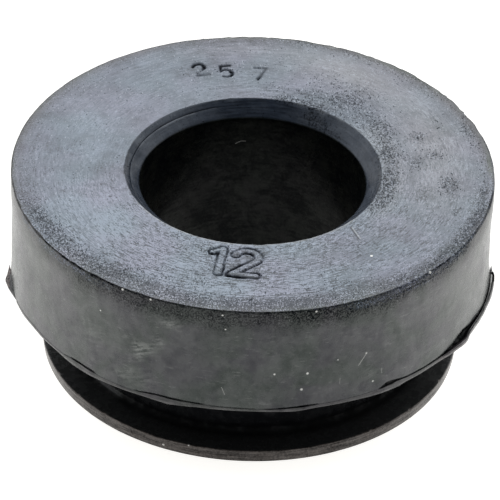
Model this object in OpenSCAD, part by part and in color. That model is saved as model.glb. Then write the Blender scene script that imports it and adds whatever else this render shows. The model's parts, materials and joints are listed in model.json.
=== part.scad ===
// Panel grommet moulded in one piece of black rubber.
// A thick round flange seats on top of a panel, a neck fills the panel's hole,
// and a thin lip below the panel keeps the grommet in. A tube or a valve pushes
// into the bore, which has a short countersink at the top face.
// Frame: origin at the centre of the bore on the underside, +Z along the bore
// towards the flange, millimetres.

/* [Flange] */
// Outer diameter of the thick upper flange next to its top face
flange_d = 40.7; // [39:0.1:46]
// How much narrower the flange is at its foot
flange_draft = 0.4; // [0:0.05:1]
// Depth below the top face where the flange starts to narrow
crown_h = 1.5; // [1:0.1:3]
// Depth below the top face where it is down to its narrower diameter
waist_h = 5; // [3.5:0.1:7]
// Thickness of the upper flange, from the panel to the top face
flange_t = 10.3; // [6:0.1:14]
// Radius along the upper rim of the flange
rim_r = 0.35; // [0.2:0.05:0.8]

/* [Bore] */
// Diameter of the through bore, to grip a 3/4 in tube
bore_d = 19.05; // [16:0.05:20]
// Diameter of the countersink where it meets the top face
countersink_d = 21.65; // [20.5:0.05:24]
// Depth of the countersink
countersink_h = 1.2; // [0.6:0.1:2]

/* [Groove] */
// Diameter of the neck that stands in the panel's hole
neck_d = 30; // [26:0.5:32]
// Width of the groove between the flange and the lip
groove_w = 5.9; // [2.5:0.1:8]
// Radius in the two inner corners of the groove
groove_r = 0.5; // [0.2:0.05:0.8]

/* [Lip] */
// Diameter of the lip at its upper edge
lip_d = 35.35; // [34:0.05:38]
// Draft of the lip's rim, as the loss of diameter at its lower edge
lip_draft = 0.25; // [0.05:0.05:0.6]
// Thickness of the lip
lip_t = 1.2; // [0.9:0.1:3]

/* [Moulding flash] */
// Thickness of the thin fin left along the mould's parting line
flash_t = 0.3; // [0.2:0.05:0.5]
// How far the fin stands out all the way round
flash_out = 0.1; // [0.05:0.05:0.3]
// How far the fin stands out where it was left untrimmed on the right
untrimmed_out = 0.5; // [0.3:0.05:1]
// Where the untrimmed length starts, in degrees from +X
untrimmed_from = 322; // [300:1:330]
// How many degrees the untrimmed length runs
untrimmed_sweep = 40; // [10:1:60]
// How far the torn tab on the left stands out
tab_out = 0.62; // [0.3:0.02:1]
// Where the tab's tip points, in degrees from +X
tab_at = 188; // [160:1:220]

/* [Hidden] */
flange_r = flange_d / 2;
waist_r = (flange_d - flange_draft) / 2;
bore_r = bore_d / 2;
countersink_r = countersink_d / 2;
neck_r = neck_d / 2;
lip_r = lip_d / 2;
foot_r = (lip_d - lip_draft) / 2;
// the flange's underside, which is also the mould's parting plane
seat_z = lip_t + groove_w;
height = seat_z + flange_t;
// how deep each flash piece is rooted in the flange
root = 0.6;
over = 1;
rubber = [0.2, 0.21, 0.22];

// The point at radius r and angle a, seen from above
function polar(r, a) = [r * cos(a), r * sin(a)];

// The web that fills an inside corner to a radius, corner at the origin
module fillet_web(r) {
    difference() {
        translate([-over / 2, -over / 2]) square(r + over / 2);
        translate([r, r]) circle(r = r, $fn = 64);
    }
}

// What is cut from an outside corner to leave a radius, corner at the origin
module round_cut(r) {
    difference() {
        translate([-r, -r]) square(r + over);
        translate([-r, -r]) circle(r = r, $fn = 64);
    }
}

// Half of the grommet's section, in radius and height
module section() {
    difference() {
        union() {
            polygon([
                [over, seat_z],
                [waist_r, seat_z],
                [waist_r, height - waist_h],
                [flange_r, height - crown_h],
                [flange_r, height],
                [over, height]
            ]);
            translate([over, over / 2]) square([neck_r - over, seat_z]);
            polygon([[over, 0], [foot_r, 0], [lip_r, lip_t], [over, lip_t]]);
            translate([neck_r, lip_t]) fillet_web(groove_r);
            translate([neck_r, seat_z]) mirror([0, 1]) fillet_web(groove_r);
        }
        translate([flange_r, height]) round_cut(rim_r);
        translate([0, -over]) square([bore_r, height + 2 * over]);
        polygon([
            [0, height - countersink_h],
            [bore_r, height - countersink_h],
            [countersink_r, height],
            [countersink_r, height + over],
            [0, height + over]
        ]);
    }
}

// A length of flash that stands out by `out`, thinning towards its free edge
module flash_run(from, sweep, out) {
    rotate([0, 0, from])
        rotate_extrude(angle = sweep, $fn = 180)
            polygon([
                [waist_r - root, seat_z],
                [waist_r + out, seat_z],
                [waist_r + out, seat_z + flash_t * 0.6],
                [waist_r, seat_z + flash_t],
                [waist_r - root, seat_z + flash_t]
            ]);
}

// A torn, pointed scrap of flash
module flash_tab(at, out) {
    translate([0, 0, seat_z])
        linear_extrude(flash_t)
            polygon([
                polar(waist_r - root, at + 6),
                polar(waist_r - root, at - 6),
                polar(waist_r + 0.02, at - 5),
                polar(waist_r + out * 0.8, at - 1),
                polar(waist_r + out, at),
                polar(waist_r + out * 0.35, at + 3),
                polar(waist_r + 0.02, at + 6)
            ]);
}

module grommet() {
    color(rubber) {
        rotate_extrude($fn = 180) section();
        flash_run(0, 360, flash_out);
        flash_run(untrimmed_from, untrimmed_sweep, untrimmed_out);
        flash_tab(tab_at, tab_out);
    }
}

grommet();
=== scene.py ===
"""Looks of the rubber grommet: one detailed closed mesh that stands for the CAD node, its rubber, a pale floor, soft light and the camera.
Lengths are in millimetres until the mesh is written, azimuths in degrees from +X, seen from above."""

import json
import math

import bmesh
import bpy
import numpy as np
from mathutils import Matrix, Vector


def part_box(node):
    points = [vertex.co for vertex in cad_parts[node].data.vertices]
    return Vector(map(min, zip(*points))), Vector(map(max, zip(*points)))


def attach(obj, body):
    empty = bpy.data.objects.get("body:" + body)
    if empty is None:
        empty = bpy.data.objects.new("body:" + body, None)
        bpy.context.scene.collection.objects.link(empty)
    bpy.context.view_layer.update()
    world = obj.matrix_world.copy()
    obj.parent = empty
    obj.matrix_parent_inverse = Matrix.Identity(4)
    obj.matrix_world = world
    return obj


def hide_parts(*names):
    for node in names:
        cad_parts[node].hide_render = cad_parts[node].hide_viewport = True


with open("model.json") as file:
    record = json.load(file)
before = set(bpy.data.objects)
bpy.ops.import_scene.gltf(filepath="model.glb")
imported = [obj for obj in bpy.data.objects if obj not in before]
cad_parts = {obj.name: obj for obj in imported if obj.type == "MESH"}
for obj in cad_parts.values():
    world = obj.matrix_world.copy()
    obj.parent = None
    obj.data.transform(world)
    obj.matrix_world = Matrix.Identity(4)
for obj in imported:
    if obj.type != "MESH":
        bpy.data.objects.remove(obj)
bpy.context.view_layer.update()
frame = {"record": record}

MM = 0.001
low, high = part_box("grommet")
bore = next(m for m in frame["record"]["mounts"] if m["name"] == "bore")
seat = next(m for m in frame["record"]["mounts"] if m["name"] == "flange_seat")

H = high.z / MM  # top face
SEAT = seat["pos_m"][2] / MM  # underside of the flange
R, RW = 20.35, 20.15  # flange next to its top face, and at its foot
RB = bore["dims"]["r_mm"]  # bore
RC = 10.825  # countersink at the top face
ZC = H - 1.2  # foot of the countersink
RN = 15.0  # neck
RL, RF, LIP = 17.72, 17.6, 1.2  # lip: upper radius, lower radius, thickness
FILLET = 0.5


# ---------------------------------------------------------------- noise and helpers


def lattice(ix, iy, iz, seed):
    with np.errstate(over="ignore"):
        h = (
            ix.astype(np.uint32) * np.uint32(374761393)
            + iy.astype(np.uint32) * np.uint32(668265263)
            + iz.astype(np.uint32) * np.uint32(2246822519)
            + np.uint32(seed) * np.uint32(3266489917)
        )
        h = (h ^ (h >> np.uint32(13))) * np.uint32(1274126177)
        h = (h ^ (h >> np.uint32(15))) * np.uint32(2654435761)
        h ^= h >> np.uint32(16)
    return h.astype(np.float64) / 2147483647.5 - 1.0


def noise(p, seed=0):
    """Smooth value noise in -1..1 at points p, one cell to the unit."""
    p = np.asarray(p, float)
    i = np.floor(p).astype(np.int64)
    f = p - i
    f = f * f * f * (f * (f * 6 - 15) + 10)
    out = 0.0
    for dx in (0, 1):
        for dy in (0, 1):
            for dz in (0, 1):
                w = (
                    (f[..., 0] if dx else 1 - f[..., 0])
                    * (f[..., 1] if dy else 1 - f[..., 1])
                    * (f[..., 2] if dz else 1 - f[..., 2])
                )
                out = out + w * lattice(
                    i[..., 0] + dx + 4096, i[..., 1] + dy + 4096, i[..., 2] + dz + 4096, seed
                )
    return out


def fbm(p, seed=0, octaves=3, gain=0.5):
    p, total, amp, norm = np.asarray(p, float), 0.0, 1.0, 0.0
    for k in range(octaves):
        total = total + amp * noise(p * 2.0**k + 17.3 * k, seed + k)
        norm += amp
        amp *= gain
    return total / norm


def around(a, freq, seed, r=R, z=0.0, octaves=2):
    """Noise along the circumference, freq cells per millimetre, with no seam."""
    t = np.radians(a)
    p = np.stack([np.cos(t) * r * freq, np.sin(t) * r * freq, np.full_like(t, z * freq)], -1)
    return fbm(p, seed, octaves)


def bump(a, centre, width):
    d = (np.asarray(a) - centre + 180) % 360 - 180
    return np.exp(-((d / width) ** 2))


def window(a, start, end, soft=2.0):
    """1 between two azimuths, falling off over soft degrees outside them."""
    mid, half = (start + end) / 2, (end - start) / 2
    d = np.abs((np.asarray(a) - mid + 180) % 360 - 180)
    t = np.clip((half + soft - d) / soft, 0, 1)
    return t * t * (3 - 2 * t)


def table(a, points):
    """A value that runs through (azimuth, value) points all the way round."""
    x = np.array([p[0] for p in points], float)
    y = np.array([p[1] for p in points], float)
    return np.interp(np.asarray(a) % 360, x, y, period=360)


def smooth(x, lo, hi):
    t = np.clip((np.asarray(x, float) - lo) / (hi - lo), 0, 1)
    return t * t * (3 - 2 * t)


# ---------------------------------------------------------------- columns of the mesh

COLUMNS = 576
fine = np.linspace(0, 360, 36001)
density = 1 + 1.8 * window(fine, 182, 197, 3) + 0.9 * window(fine, 300, 362, 4) + 1.3 * window(fine, 357, 361, 1.5)
share = np.concatenate([[0], np.cumsum((density[1:] + density[:-1]) / 2)])
A = np.interp(np.arange(COLUMNS) / COLUMNS * share[-1], share, fine)
T = np.radians(A)

# ---------------------------------------------------------------- how each edge varies round the part

# radius worn on the upper rim: crisp in front and at the back, rubbed down a little on the right
rim = table(
    A,
    [
        (0, 0.2), (20, 0.15), (45, 0.12), (80, 0.1), (100, 0.1), (150, 0.12), (185, 0.15), (205, 0.13),
        (285, 0.13), (300, 0.14), (315, 0.15), (330, 0.16), (345, 0.17),
    ],
) * (1 + 0.16 * around(A, 0.5, 11))
rim = np.clip(rim * (1 + 0.9 * around(A, 1.0, 12) * window(A, 188, 248, 8)), 0.06, 0.26)
torn = 0.12 + 0.88 * window(A, 20, 101, 8)  # where the trimmed edge is nicked
nick = np.maximum(0, around(A, 0.55, 21, octaves=3) - 0.05) * 0.32 * torn
nick += np.maximum(0, around(A, 1.6, 22, octaves=2) - 0.02) * 0.32 * torn

# flash along the parting line: radius of its free edge, and that edge's height above the seat
tip_r = table(
    A,
    [
        (0.05, 20.2), (184.1, 20.2), (184.4, 20.47), (185, 20.52), (185.6, 20.62), (186.2, 20.8), (186.5, 20.82), (187.6, 20.72),
        (189.4, 20.6), (190.5, 20.53), (192.3, 20.41), (194, 20.31), (196, 20.22), (200, 20.2), (321, 20.2), (323, 20.26),
        (324.5, 20.34), (326.5, 20.42), (328.5, 20.5), (330.5, 20.6), (332.3, 20.66), (333.6, 20.62), (334.6, 20.53),
        (336, 20.5), (340, 20.53), (343, 20.56), (345, 20.58), (347, 20.61), (349.5, 20.68), (351.5, 20.72),
        (355, 20.76), (357.3, 20.78), (359.4, 20.77), (359.75, 20.75),
    ],
)
tip_up = table(
    A,
    [
        (0.05, 0.4), (150, 0.38), (180, 0.2), (184, -0.24), (187, -0.34), (190, -0.34), (192, -0.24), (194, -0.18),
        (196, -0.06), (200, 0.1), (204, 0.16), (220.8, 0.17), (222, 0.23), (224, 0.31), (226, 0.33), (229, 0.24), (231, 0.2),
        (233, 0.15), (241, 0.16), (243, 0.21), (244, 0.25), (248, 0.43), (250, 0.42), (252, 0.37), (254, 0.38), (255.5, 0.4),
        (259.5, 0.4), (262, 0.36), (270, 0.3), (274, 0.26), (276, 0.24), (280, 0.27), (283.5, 0.28), (286, 0.33), (288.5, 0.34),
        (297, 0.34), (302.9, 0.33), (304, 0.34), (305, 0.37), (306.8, 0.4), (308, 0.48), (309.5, 0.44), (311, 0.4), (316, 0.38),
        (322, 0.37), (330, 0.34), (334.2, 0.34), (334.6, 0.4), (340, 0.42), (352, 0.42), (359.75, 0.4),
    ],
)
# height of its lower outer edge, where it has curled up off the seat
curl = table(A, [(0.05, 0.0), (324, 0.0), (334.2, 0.02), (335, 0.12), (340, 0.1), (350, 0.12), (359.75, 0.15)])
ragged = around(A, 1.3, 31, octaves=3)
# how wide its free edge is, and where a ridge splits the crevice in two
ribbon = table(A, [(0.05, 0.04), (184, 0.04), (322, 0.05), (324, 0.1), (326, 0.22), (328, 0.3), (331, 0.32), (332.6, 0.26), (334, 0.2), (334.6, 0.07),
                   (338, 0.1), (346, 0.12), (350, 0.14), (355, 0.13), (356.6, 0.1), (359.75, 0.06)])
ridge = window(A, 336.5, 359.75, 2.5) * (0.8 + 0.25 * around(A, 0.8, 36))
glint = np.maximum(window(A, 356.4, 359.1, 0.6), 0.3 * window(A, 338, 356.5, 2))  # painted highlight where that ridge catches the light, fainter along most of it
tab = window(A, 184.4, 195.0, 0.25)
# degrees by which the torn ends of the flash point back along the rim
lean_left = table(A, [(184.1, 0), (184.4, -5.1), (185, -3.9), (185.6, -2.3), (186.2, -0.9), (187, -0.4), (188.5, 0)])
lean_right = table(A, [(0.05, 0), (358.7, 0), (359.1, 0.5), (359.4, 1.3), (359.75, 3.6)])

# the crevice between the wall and the flash: how far it is open, and the height of its upper edge
opening = table(
    A,
    [
        (0.05, 0), (40, 0), (44, 0.5), (58, 0.6), (62, 0), (90, 0), (95, 0.6), (118, 0.5), (122, 0), (150, 0),
        (154, 0.5), (170, 0.4), (174, 0), (220.8, 0), (222, 0.6), (224.5, 0.9), (229, 1), (231, 0.7), (231.9, 0), (242.6, 0),
        (244, 0.6), (248, 0.8), (250, 0.9), (253.5, 1), (256, 0.8), (259.4, 0.7), (259.9, 0), (262, 0.16), (268, 0.24),
        (272, 0.16), (273.5, 0), (275.5, 0.5), (280, 0.7), (283.5, 1), (285.6, 0.8), (288, 0), (302.9, 0), (303.4, 0.9),
        (305, 1), (309, 1), (311, 0.75), (322, 0.75), (325.5, 1), (359.75, 1),
    ],
)
opening = np.clip(opening + (0.3 + 0.9 * window(A, 221, 232, 1)) * around(A, 1.6, 34, octaves=2) * smooth(opening, 0.05, 0.5), 0, 1)
gap = table(
    A,
    [
        (0.05, 0.07), (220, 0.05), (222, 0.06), (224, 0.09), (226, 0.1), (229, 0.15), (231, 0.12), (233, 0.05), (243, 0.04),
        (244, 0.05), (248, 0.07), (250, 0.08), (252, 0.12), (254, 0.12), (255.5, 0.07), (259.6, 0.06), (261, 0.05), (275, 0.05),
        (280, 0.07), (283.5, 0.12), (286, 0.08), (288.5, 0.05), (303, 0.05), (303.8, 0.2), (305, 0.42), (306.8, 0.36),
        (308, 0.2), (309.5, 0.1), (311, 0.07), (322, 0.08), (324.7, 0.1), (325.9, 0.13), (327.3, 0.23), (329, 0.4), (331.2, 0.6),
        (333.2, 0.7), (334.4, 0.58), (335.1, 0.5), (337, 0.3), (340.2, 0.17), (345.7, 0.13), (350, 0.17), (356, 0.19), (359.75, 0.16),
    ],
) * (1 + 0.25 * around(A, 1.2, 33, octaves=2))
depth = opening * (0.1 + 0.04 * around(A, 0.8, 46) + 0.26 * window(A, 325, 336, 4) + 0.1 * window(A, 340, 358, 3))
hang = 0.02 * around(A, 0.45, 51, octaves=3) + table(
    A,
    [
        (0.05, 0.05), (150, 0.05), (178, 0.2), (183, 0.46), (187, 0.55), (190, 0.5), (192, 0.42), (194, 0.36), (196, 0.27),
        (200, 0.16), (205, 0.11), (212, 0.1), (218, 0.06), (224, 0.28), (230, 0.3), (236, 0.2), (243, 0.12), (246.2, 0.12),
        (248.2, 0.17), (250.3, 0.22), (251.3, 0.27), (252.3, 0.2), (254.3, 0.14), (256.3, 0.07), (258.2, 0.0), (261, -0.03),
        (264, -0.05), (270.7, -0.07), (276.5, 0.02), (278.4, 0.06), (281.3, 0.12), (283, 0.1), (285.2, 0.03), (287, 0.0),
        (291, 0.0), (297.5, 0.06), (303, 0.19), (306, 0.2), (309, 0.19), (310.5, 0.08), (313, 0.05), (322, 0.03),
    ],
)
spread = np.maximum(opening * smooth(A, 318, 326), tab)  # where the flash stands clear of the wall
upper = tip_up + gap

# ---------------------------------------------------------------- rows of the mesh, from the bore's foot round the section

rows_r, rows_z, rows_lean, marks = [], [], [], {k: [] for k in ("top", "cone", "bore", "groove", "lip", "flash", "crev", "rim", "foot", "glint")}
ONE = np.ones(COLUMNS)


def row(r, z, **zone):
    rows_r.append(r * ONE)
    rows_z.append(z * ONE)
    rows_lean.append(zone.get("lean", 0.0))
    for k in marks:
        marks[k].append(zone.get(k, 0.0) * ONE)


def body_noise(r, z, freq, seed, octaves=2):
    rr = r * ONE
    return fbm(np.stack([np.cos(T) * rr * freq, np.sin(T) * rr * freq, z * ONE * freq], -1), seed, octaves)


# foot of the bore
row(RB + 0.22, 0.0, foot=1)
row(RB + 0.07, 0.06, foot=1, bore=0.5)
row(RB, 0.24, bore=1)
# bore
for z in np.linspace(1.6, ZC - 0.75, 9):
    row(RB + 0.025 * body_noise(RB, z, 0.28, 61), z, bore=1)
row(RB, ZC - 0.3, bore=1)
# soft edge where the bore meets the countersink
row(RB + 0.005, ZC - 0.1, bore=1)
row(RB + 0.03, ZC - 0.015, bore=0.6, cone=0.4)
row(RB + 0.1, ZC + 0.07, cone=1)
# countersink, with a fine parting step on its back left whose groove is painted dark as shade
step = window(A, 112, 214, 12) * (0.8 + 0.2 * around(A, 0.8, 62, r=10.3))
step_at = 0.63 + 0.02 * around(A, 0.3, 63, r=10.3)
for k, (s, groove_depth, dark) in enumerate(
    [
        (0.16, 0, 0), (0.27, 0, 0), (0.38, 0, 0), (0.48, 0, 0), (-0.05, 0, 0), (-0.018, 0.35, 0.3), (0.0, 1.0, 1.0),
        (0.018, 0.35, 0.3), (0.05, -0.22, 0), (0.78, 0, 0), (0.87, 0, 0),
    ]
):
    s = s if abs(s) > 0.1 else step_at + s
    wave = 0.012 * body_noise(10.2, 17.0 + 0.5 * k, 0.5, 64)
    sink = groove_depth * 0.055 * step - wave
    row(
        RB + (RC - RB) * s + 0.678 * sink,
        ZC + (H - ZC) * s - 0.735 * sink,
        cone=1,
        crev=dark * step,
    )
# soft edge between the countersink and the top face, rougher at the back
edge = 0.07 + 0.03 * bump(A, 75, 60) + 0.012 * around(A, 1.1, 65, r=RC)
chip = np.maximum(0, around(A, 1.4, 66, r=RC, octaves=3) - 0.15) * 0.14
row(RC - 0.75 * edge + chip, H - 0.8 * edge, cone=1)
# painted highlight along the front of this edge: more film, and a pale line
edge_highlight = window(A, 214, 318, 10) * (0.8 + 0.4 * around(A, 0.9, 67, r=RC))
row(RC + 0.05 * edge + chip, H - 0.22 * edge, cone=0.45 - 0.3 * edge_highlight, top=0.55 + 0.3 * edge_highlight, glint=0.55 * edge_highlight)
row(RC + 0.8 * edge + chip, H, top=0.85, glint=0.3 * edge_highlight)
TOP_FIRST = len(rows_r) - 1
# top face
inner, outer = RC + 0.18 + chip, R - rim - 0.02
for s in np.linspace(0, 1, 27):
    row(inner + (outer - inner) * (1 - (1 - s) ** 1.18), H, top=1)
TOP_LAST = len(rows_r) - 1
# upper rim
for deg in (14, 28, 43, 58, 73, 88):
    d = math.radians(deg)
    bite = nick * math.sin(d) ** 0.6
    row(
        R - rim * (1 - math.sin(d)) - bite,
        H - rim * (1 - math.cos(d)) - bite * 0.5 * (1 - math.sin(d)),
        rim=1,
    )
# wall of the flange, drawn in a little from the middle down
wall_top, wall_foot = H - rim - 0.12, SEAT + upper + 0.3
swell = 0.1 * window(A, 168, 200, 9) + 0.075 * window(A, 346, 366, 7)
flare = table(A, [(0.05, 0.1), (6, 0), (330, 0), (336, 0.02), (341, 0.05), (346, 0.1), (351, 0.12), (359.9, 0.12)]) + 0.05 * window(A, 186, 200, 6)
for k, s in enumerate([0, 0.035, 0.08, 0.14, 0.21, 0.29, 0.37, 0.46, 0.55, 0.64, 0.73, 0.82, 0.91, 1.0]):
    z = wall_top + (wall_foot - wall_top) * s
    fade = (1 - smooth(s, 0, 0.1)) * 0.55
    sway = 0.024 * body_noise(R, z, 0.11, 71) + 0.008 * body_noise(R, z, 0.6, 72)
    sway = sway + swell * (1 - smooth(z, H - 6.2, H - 2.4)) + flare * (1 - smooth(z, wall_foot, wall_foot + 1.1))
    row(RW + (R - RW) * smooth(z, H - 5.2, H - 1.3) + sway - nick * fade, z)
# crevice and flash
foot_r = RW + sway * (1 - spread) + (swell + flare) * spread
tip = foot_r + 0.03 + (tip_r - foot_r - 0.03) * smooth(spread, 0, 0.3) + 0.012 * ragged * (0.3 + 0.7 * spread)
inner = tip - np.minimum(ribbon, 0.75 * (tip - foot_r))
# from here the crevice carries painted shade, near black where it stands open
row(RW + sway, SEAT + upper + 0.1)
row(RW + sway - 0.02 * opening, SEAT + upper, crev=0.1 * opening + 0.5 * tab)
step = tip_up - upper
bed = tip_up - 0.06 - table(A, [(0.05, 0.02), (324, 0.02), (329, 0.14), (336, 0.24), (344, 0.16), (359.75, 0.12)]) * opening
row(foot_r - 0.06 * opening - 0.55 * depth, SEAT + upper + (step * 0.25) * (1 - opening) - 0.02 * opening, crev=0.9 * opening)
row(foot_r - depth + 0.004, SEAT + upper + (step * 0.5) * (1 - opening) + (bed - upper) * 0.35 * opening, crev=opening)
row(foot_r - depth + 0.012, SEAT + (upper + step * 0.7) * (1 - opening) + bed * opening, crev=opening)
FLASH_FIRST = len(rows_r)
crest = bed + ridge * (tip_up - 0.05 - bed)
dim = 0.4 * tab
tinted = 0.4 + 0.6 * np.maximum(window(A, 322.5, 359.9, 1.5), window(A, 183, 196, 1))  # browner where it is torn
spike = smooth(A, 359.1, 359.5)
# flash rows: dark is painted shade in the crevice, pale a painted highlight on the ridge
for part, floor_z, dark, pale, lean in (
    (0.16, bed, ONE, 0, 0.1), (0.3, crest, 1 - ridge, 0.7, 0.3), (0.62, crest, 1 - ridge, 1, 1.0), (0.76, bed, ONE, 0, 0.5), (1.0, bed, ONE, 0, 0.35),
):
    r = foot_r + 0.02 * part * (1 - spread) + ((inner - foot_r) * part - 0.02 * (part == 1.0)) * spread
    z = (upper + step * (0.7 + 0.3 * part)) * (1 - opening) + floor_z * opening
    row(r, SEAT + z, crev=np.maximum(dark * opening, np.maximum(dim, 0.9 * spike)), flash=0.5, glint=pale * glint, lean=lean)
outer_dark = 0.9 * window(A, 356.6, 359.75, 0.5)
wear_and_painted_highlight = 0.55 * window(A, 335.2, 356.2, 0.8) * (0.7 + 0.6 * around(A, 1.6, 37, octaves=1))  # painted highlight along its outer edge
row(foot_r + 0.022 + (inner - foot_r - 0.022) * spread, SEAT + tip_up - 0.02 * opening, crev=np.maximum(0.15 * opening, np.maximum(dim, outer_dark)), flash=tinted, glint=wear_and_painted_highlight, lean=0.2)
row(tip - 0.03 * spread - 0.004, SEAT + tip_up - 0.01, crev=np.maximum(outer_dark, dim), flash=tinted, glint=wear_and_painted_highlight, lean=0.05)
row(tip, SEAT + tip_up - 0.05, crev=np.maximum(outer_dark, 0.6 * dim), flash=tinted, glint=wear_and_painted_highlight)
row(tip - 0.006, SEAT + tip_up * 0.5 + (curl - hang) * 0.5, crev=outer_dark, flash=tinted, glint=wear_and_painted_highlight)
row(tip - 0.012, SEAT + curl - hang + 0.03, crev=0.5 * outer_dark, flash=tinted, glint=0.6 * wear_and_painted_highlight)
row(tip - 0.06, SEAT + curl - hang - 0.01, flash=tinted, lean=0.05)
row(foot_r + 0.6 * (tip - foot_r) - 0.03, SEAT + 0.7 * curl - hang, flash=0.7 * tinted, groove=0.3, lean=1.0)
row(foot_r + 0.3 * (tip - foot_r) - 0.08, SEAT + 0.3 * curl - hang, flash=0.7 * tinted, groove=0.3, lean=0.12)
FLASH_LAST = len(rows_r)
row(RW - 0.25, SEAT - hang * 0.7, flash=0.2, groove=0.8)
# underside of the flange
row(RW - 0.5, SEAT - 0.01, groove=1)
for r in (19.0, 17.8, 16.7):
    row(r, SEAT + 0.015 * body_noise(r, SEAT, 0.4, 81), groove=1)
for deg in (0, 30, 60, 90):
    d = math.radians(deg)
    row(RN + FILLET * (1 - math.sin(d)), SEAT - FILLET * (1 - math.cos(d)), groove=1)
# neck
for z in (5.9, 4.9, 3.9, 2.9, 2.2):
    row(RN + 0.03 * body_noise(RN, z, 0.3, 82), z, groove=1)
# the fillet at the foot of the neck is painted dark as shade, except for one patch
for deg in (90, 60, 30, 0):
    d = math.radians(deg)
    row(RN + FILLET * (1 - math.sin(d)), LIP + FILLET * (1 - math.cos(d)), groove=1, crev=0.65 - 0.65 * window(A, 215, 224, 3))
# upper face of the lip
lip_nick = np.maximum(0, around(A, 1.1, 83, r=RL, octaves=3) - 0.28) * 0.2
for a in (205.6, 216.8, 227.8, 306.7, 321.1, 336.8):
    lip_nick += 0.12 * bump(A, a, 0.55)
lip_sway = 0.015 * around(A, 0.22, 84, r=RL) + 0.085 * np.cos(T)
for r in (16.1, 16.7, 17.2):
    row(r, LIP + 0.02 * body_noise(r, 1.2, 0.5, 85), groove=1)
row(RL - 0.15 - 0.6 * lip_nick + lip_sway, LIP + 0.005, groove=1)
row(RL - 0.055 - 0.9 * lip_nick + lip_sway, LIP - 0.003 - 0.2 * lip_nick, groove=1)
row(RL - 0.035 - 0.8 * lip_nick + lip_sway, LIP - 0.012 - 0.3 * lip_nick, lip=1)
row(RL - 0.5 * lip_nick + lip_sway, LIP - 0.06 - 0.4 * lip_nick, lip=1)
# rim of the lip
for s in (0.2, 0.4, 0.6, 0.8):
    row(RL + (RF - RL) * s + lip_sway + 0.008 * body_noise(RL, LIP * (1 - s), 0.9, 86), LIP * (1 - s), lip=1)
row(RF + lip_sway, 0.14, lip=1)
# a dark line at the lip's foot: painted contact shadow
row(RF - 0.004 + lip_sway, 0.09, lip=1, crev=0.6)
row(RF - 0.035 + lip_sway, 0.022, lip=0.8, foot=0.4, crev=0.6)
row(RF - 0.14, 0.0, foot=1)
# underside
for r in (16.6, 15.0, 13.2, 11.4, 10.2):
    row(r, 0.0, foot=1)

RAD, ZED = np.array(rows_r), np.array(rows_z)
ROWS = len(RAD)
AROUND = np.tile(A, (ROWS, 1))
out = np.clip((RAD - RW - 0.03) / (tip - RW - 0.03), 0, 1)[FLASH_FIRST:FLASH_LAST]
AROUND[FLASH_FIRST:FLASH_LAST] += lean_left * out**1.5 + lean_right * np.array(rows_lean)[FLASH_FIRST:FLASH_LAST, None]

# ---------------------------------------------------------------- relief of the top face

def arc(cx, cy, rx, ry, start, end, step=15):
    """Points along an ellipse's arc, in degrees."""
    turns = np.arange(start, end + (1 if end > start else -1), step if end > start else -step)
    return [(cx + rx * math.cos(math.radians(t)), cy + ry * math.sin(math.radians(t))) for t in turns]


# plain figures as strokes, one unit tall and centred
FIGURES = {
    "1": [(-0.2, 0.34), (0.03, 0.5), (0.03, -0.5)],
    "2": arc(0.0, 0.22, 0.29, 0.28, 165, -45) + [(-0.3, -0.5), (0.32, -0.5)],
    "5": [(0.26, 0.5), (-0.2, 0.5), (-0.25, 0.06)] + arc(-0.01, -0.17, 0.3, 0.32, 125, -140),
    "7": [(-0.3, 0.5), (0.3, 0.5), (-0.08, -0.5)],
}
# plain mould numbers: figure, place, turn, height, and how far its outline lies from the stroke
BACK = [("2", 107.9, 15.75), ("5", 99.9, 15.05), ("7", 88.6, 14.65)]
NUMBERS = [("1", -2.55, -13.15, -6, 3.4, 0.36), ("2", -0.4, -13.4, -6, 3.4, 0.36)] + [
    (n, r * math.cos(math.radians(a)), r * math.sin(math.radians(a)), a - 90, 1.7, 0.0) for n, a, r in BACK
]


def stroke_distance(x, y, number):
    name, cx, cy, turn, tall, _ = number
    c, s = math.cos(math.radians(turn)), math.sin(math.radians(turn))
    u, v = (c * (x - cx) + s * (y - cy)) / tall, (-s * (x - cx) + c * (y - cy)) / tall
    best = np.full(np.shape(x), 99.0)
    for (ax, ay), (bx, by) in zip(FIGURES[name], FIGURES[name][1:]):
        ex, ey = bx - ax, by - ay
        t = np.clip(((u - ax) * ex + (v - ay) * ey) / (ex * ex + ey * ey), 0, 1)
        best = np.minimum(best, np.hypot(u - ax - t * ex, v - ay - t * ey))
    return best * tall


def top_relief(x, y):
    """(height, how much painted shade lies in a groove) on the top face."""
    p = np.stack([x, y, np.zeros_like(x)], -1)
    h = 0.022 * fbm(p * 0.16, 91, 2) + 0.007 * fbm(p * 0.9, 92, 2)
    dark = np.zeros_like(x)
    for number in NUMBERS:
        d, width = stroke_distance(x, y, number), number[5]
        thin = (0.1 if width > 0.3 else 0.125) * (1 + 0.35 * noise(p * 0.8, 95))
        line = np.exp(-(((d - width + 0.05 * noise(p * 1.9, 93)) / thin) ** 2)) * (0.82 + 0.5 * noise(p * 1.1, 94))
        h = h - 0.16 * line + 0.03 * smooth(width - d, -0.04, 0.1) * (width > 0.3)
        dark = np.maximum(dark, line * (1.12 if width > 0.3 else 1.0))
    return h, np.clip(dark, 0, 1)


# ---------------------------------------------------------------- the mesh

xs, ys = RAD * np.cos(np.radians(AROUND)), RAD * np.sin(np.radians(AROUND))
bm = bmesh.new()
layers = {k: bm.verts.layers.float.new(k) for k in marks}
vals = {k: np.array(v) for k, v in marks.items()}
grid = []
for i in range(ROWS):
    line = []
    for j in range(COLUMNS):
        v = bm.verts.new((xs[i, j], ys[i, j], ZED[i, j]))
        for k, layer in layers.items():
            v[layer] = vals[k][i, j]
        line.append(v)
    grid.append(line)
for i in range(ROWS):
    for j in range(COLUMNS):
        k, m = (i + 1) % ROWS, (j + 1) % COLUMNS
        bm.faces.new((grid[i][j], grid[i][m], grid[k][m], grid[k][j]))


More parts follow.
